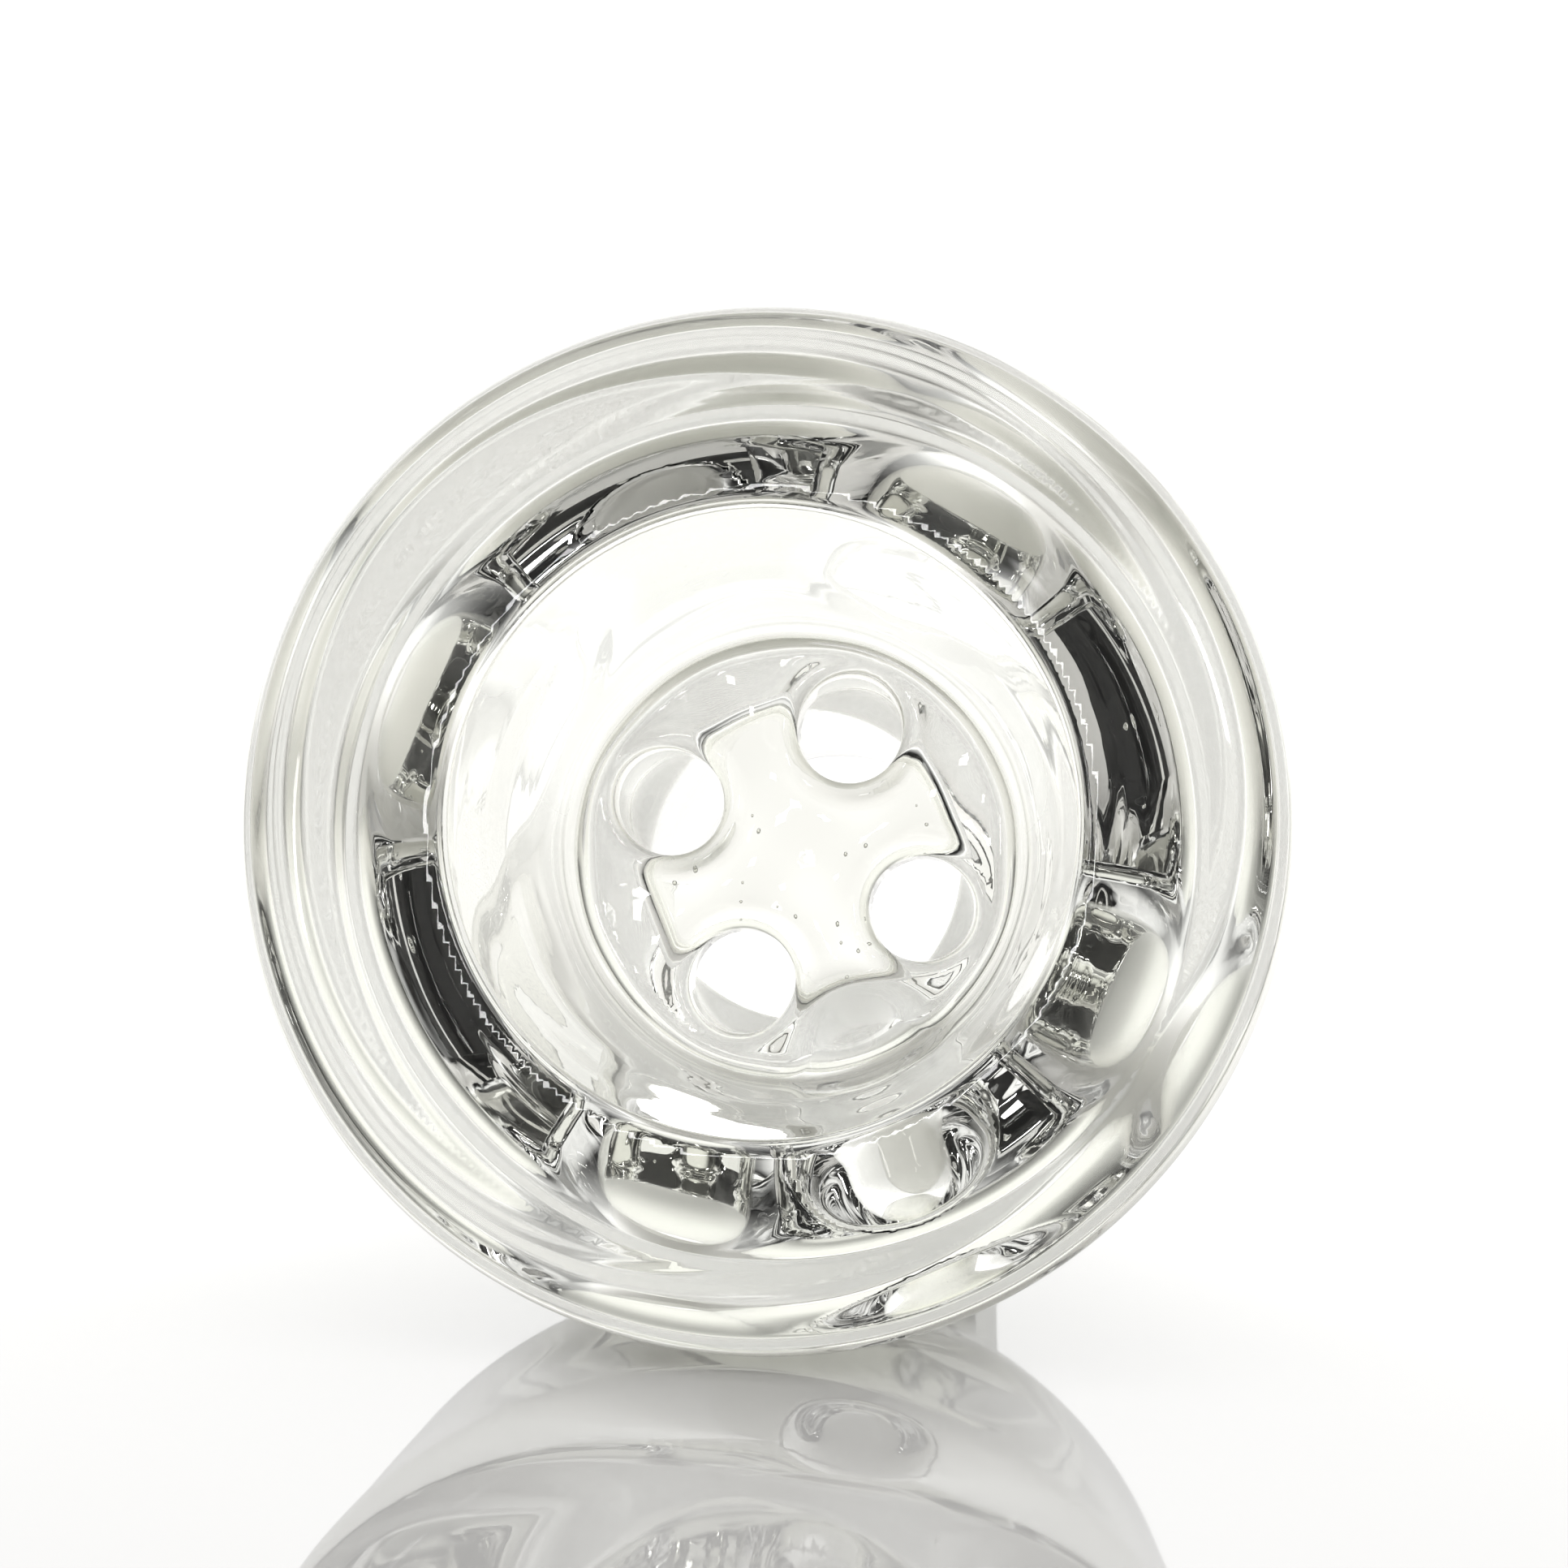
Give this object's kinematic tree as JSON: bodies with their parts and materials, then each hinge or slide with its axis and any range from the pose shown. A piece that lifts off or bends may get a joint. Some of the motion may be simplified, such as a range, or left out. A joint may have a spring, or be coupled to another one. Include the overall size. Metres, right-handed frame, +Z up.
{
  "type": "glass bowl with ground joint",
  "caption": "Heavy clear glass bowl with a thick rolled rim, a drilled glass screen fused across its floor, a tapered ground joint and a small roll stop.",
  "frame": {"origin": "on the table, under the middle of the whole piece as it lies on its side", "axes": "+Z up from the table; the cup's mouth faces -Y and the joint's end +Y, and the piece's own axis rises 12.3 degrees towards the mouth; +X is to the right when looking into the mouth, the side the roll stop is on"},
  "size_m": [0.032, 0.0518, 0.0314],
  "materials": {
    "clear_glass": "clear borosilicate glass, fire polished",
    "ground_glass": "clear borosilicate glass, its outer cone ground to a fine matt"
  },
  "bodies": {
    "root": {"joint_tube": "ground_glass", "neck_collar": "clear_glass", "four_hole_screen": "clear_glass", "cup_wall": "clear_glass", "rolled_rim": "clear_glass", "roll_stop": "clear_glass"}
  },
  "joints": []
}
